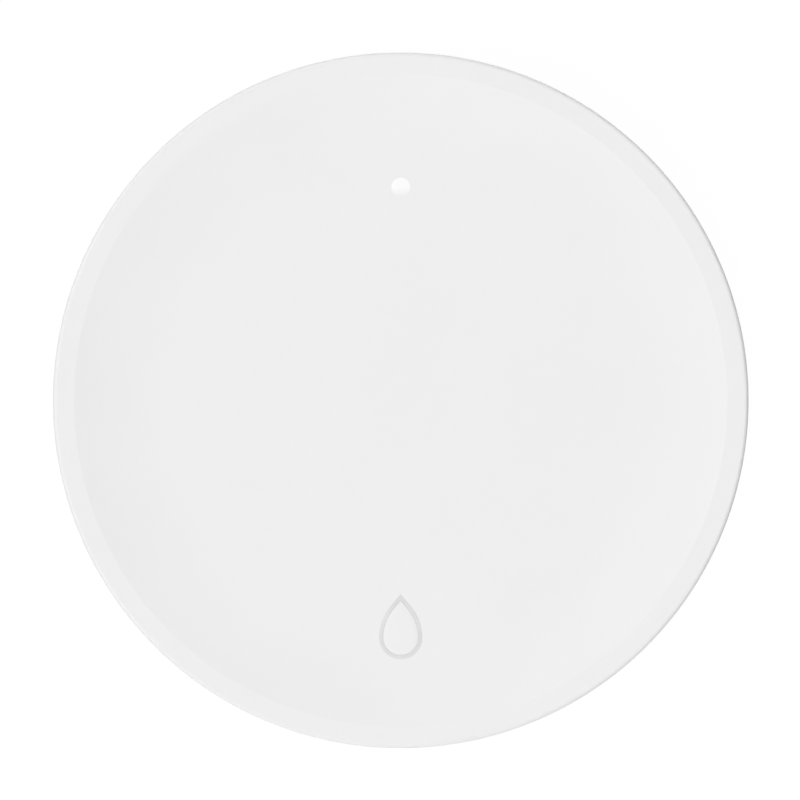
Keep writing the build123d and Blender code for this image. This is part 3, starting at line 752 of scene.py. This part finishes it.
def makeArrow():
    circle, line, wide = mark["circle"], mark["line"] / 2, mark["headWidth"]
    start, end, steps = mark["arrowFrom"], mark["arrowTo"], mark["arrowSteps"]
    pen = Pen(polar(circle + line, start), flatAt=markZ).arc((0, 0), end - start, steps)
    pen.line(polar(circle + wide, end), polar(circle, end - mark["headLength"]),
             polar(circle - wide, end), polar(circle - line, end))
    pen.arc((0, 0), start - end, steps)
    finished(toObject("turnArrow", moulded(pen)), "housing", markWhite)


def makePointer():
    radius, half = mark["pointerRadius"], mark["pointerWidth"] / 2
    pen = Pen((half, radius), flatAt=markZ).line((0, radius + mark["pointerLength"]), (-half, radius))
    finished(toObject("coverPointer", moulded(pen)), "battery_cover", markWhite)


makePadlock("closedPadlock", mark["closedAt"], 0)
makePadlock("openPadlock", mark["openAt"], mark["gap"])
makeArrow()
makePointer()

foot = {
    "radius": 2.4, "edge": 0.4, "flat": 0.05, "topZ": 1.4, "stubRadius": 1.8, "stubZ": 1.7,
    "edgeSteps": 10, "steps": 96,
}


def makeFeet():
    tread, edge = foot["radius"] - foot["edge"], foot["edge"]
    pen = Pen((0, 0)).line((tread - foot["flat"], 0), (tread, 0)).arc((tread, edge), 90, foot["edgeSteps"])
    pen.line((foot["radius"], foot["topZ"]), (foot["stubRadius"], foot["topZ"]),
             (foot["stubRadius"], foot["stubZ"]), (0, foot["stubZ"]))
    feet = atScrews(moved(pen.spun(foot["steps"]), screwCircle))
    finished(toObject("rubberFeet", feet), "housing", footRubber, ["rubber_feet"])


makeFeet()

probe = {
    "lowZ": 0.2, "headRadius": 2.1, "headTopZ": 1.3, "edge": 0.35, "flat": 0.03, "shank": 1.0, "topZ": 7.4,
    "recessLength": 2.5, "recessWidth": 0.55, "recessDepth": 0.6, "taper": 0.72,
    "edgeSteps": 12, "steps": 128,
}


def makeProbe(side, x):
    low, edge, shank = probe["lowZ"], probe["edge"], probe["shank"]
    flat = probe["headRadius"] - edge
    pen = Pen((0, low)).line((flat - probe["flat"], low), (flat, low))
    pen.arc((flat, low + edge), 90, probe["edgeSteps"])
    pen.line((probe["headRadius"], probe["headTopZ"]), (shank, probe["headTopZ"]), (shank, probe["topZ"]),
             (0, probe["topZ"]))
    piece = toObject(f"probe{side}", pen.spun(probe["steps"]))
    for angle in (0, math.tau / 4):
        wing = block((probe["recessLength"], probe["recessWidth"], 2 * probe["recessDepth"]), (0, 0, low))
        inner = [vert for vert in wing.verts if vert.co.z > low * mm]
        bmesh.ops.scale(wing, verts=inner, vec=(probe["taper"], probe["taper"], 1))
        combined(piece, "DIFFERENCE", turned(wing, angle))
    piece.data.transform(Matrix.Translation((x * mm, 0, 0)))
    finished(piece, "housing", probeSteel(f"probeSteel{side}", x), [f"probe_{side.lower()}"])
    softened(piece, softEdges["probe"])


makeProbe("Left", -probeCircle)
makeProbe("Right", probeCircle)
print("underside done")

# the stage, the camera and the light
floorSizes = {
    "half": 900.0, "drop": 0.02, "clearRadius": 22.5, "nearRadius": 24.5, "farRadius": 26.7,
    "pale": 0.2, "white": 1.02, "tint": 0.06, "nearTint": 0.8,
}


def makeFloor():
    bm = bmesh.new()
    bmesh.ops.create_grid(bm, x_segments=1, y_segments=1, size=floorSizes["half"] * mm)
    floor = toObject("studioFloor", moved(bm, z=-floorSizes["drop"]))
    paint, pale = Paint("studioFloor"), floorSizes["pale"]
    distance = paint.length(paint.place())
    # white to the camera, and it takes the shadow more where the sensor stands
    tint = paint.fit(distance, floorSizes["nearRadius"] * mm, floorSizes["farRadius"] * mm,
                     floorSizes["nearTint"], floorSizes["tint"], smooth=True)
    table = paint.add("ShaderNodeBsdfDiffuse", {}, {"Color": (pale, pale, pale, 1)})
    shaded = paint.add("ShaderNodeBsdfDiffuse", {}, {"Color": (1, 1, 1, 1)})
    bright = paint.add("ShaderNodeEmission", {}, {"Color": (1, 1, 1, 1), "Strength": floorSizes["white"]})
    white = paint.add("ShaderNodeMixShader", {}, {0: tint, 1: bright, 2: shaded})
    top = paint.add("ShaderNodeMixShader", {}, {0: paint.inSight(), 1: table, 2: white})
    # clear from below, and clear to the light under the sensor, so that a view from below is lit
    fromBelow = paint.add("ShaderNodeNewGeometry", out="Backfacing")
    under = (distance < floorSizes["clearRadius"] * mm) * (1 - paint.ray("Camera"))
    hidden = paint.add("ShaderNodeMath", {"operation": "MAXIMUM"}, {0: fromBelow, 1: under})
    clear = paint.add("ShaderNodeBsdfTransparent")
    surface = paint.add("ShaderNodeMixShader", {}, {0: hidden, 1: top, 2: clear})
    floor.data.materials.append(paint.output(surface))


# the light of the sky above the floor and below it, and of the lamps: at a level of 1, a surface that
# faces the lamp shows its colour as it is written
sky = {"above": 0.256, "below": 0.55, "seen": 1.0, "horizon": 0.001}
lamps = {
    "keyLight": {"level": 0.462, "height": 45.0, "around": 240.0, "spread": 80.0},
    "topLight": {"level": 0.217, "height": 75.0, "around": 210.0, "spread": 40.0},
    "backLight": {"level": 0.56, "height": 15.0, "around": 105.0, "spread": 60.0},
    "sideLight": {"level": 0.172, "height": 15.0, "around": 285.0, "spread": 60.0},
    "underLight": {"level": 0.45, "height": -40.0, "around": 120.0, "spread": 40.0},
}


def makeWorld():
    paint = Paint("studio", bpy.data.worlds)
    towards = paint.add("ShaderNodeTexCoord", out="Generated")
    side = paint.fit(paint.axis("Z", towards), -sky["horizon"], sky["horizon"], sky["below"], sky["above"])
    level = paint.fit(paint.inSight(), 0, 1, side, sky["seen"])
    dome = paint.add("ShaderNodeBackground", {}, {"Color": (1, 1, 1, 1), "Strength": level})
    bpy.context.scene.world = paint.output(dome, "ShaderNodeOutputWorld")


# large soft lamps, so far away that they light every part alike
def makeLamps():
    for name, sizes in lamps.items():
        lamp = bpy.data.lights.new(name, "SUN")
        lamp.energy = math.pi * sizes["level"]
        lamp.angle = math.radians(sizes["spread"])
        sun = bpy.data.objects.new(name, lamp)
        sun.visible_glossy = sizes["height"] < 0  # reflections see the white sky, not the lamps above
        bpy.context.scene.collection.objects.link(sun)
        height, around = math.radians(sizes["height"]), math.radians(sizes["around"])
        flat = math.cos(height)
        towards = Vector((math.cos(around) * flat, math.sin(around) * flat, math.sin(height)))
        sun.rotation_euler = towards.to_track_quat("Z", "Y").to_euler()


lens = {
    "focal": 135.0, "sensor": 36.0, "viewWidth": 57.53, "planeZ": 14.6, "aside": (-0.053, 0.025),
    "nearest": 0.01, "farthest": 10.0,  # in metres
}


def makeCamera():
    eye = bpy.data.cameras.new("camera")
    eye.lens, eye.sensor_width = lens["focal"], lens["sensor"]
    eye.clip_start, eye.clip_end = lens["nearest"], lens["farthest"]
    camera = bpy.data.objects.new("camera", eye)
    bpy.context.scene.collection.objects.link(camera)
    away = lens["viewWidth"] * lens["focal"] / lens["sensor"]
    camera.location = Vector((*lens["aside"], lens["planeZ"] + away)) * mm
    bpy.context.scene.camera = camera


makeFloor()
makeWorld()
makeLamps()
makeCamera()
bpy.context.scene.view_settings.view_transform = "Standard"
print("stage done")
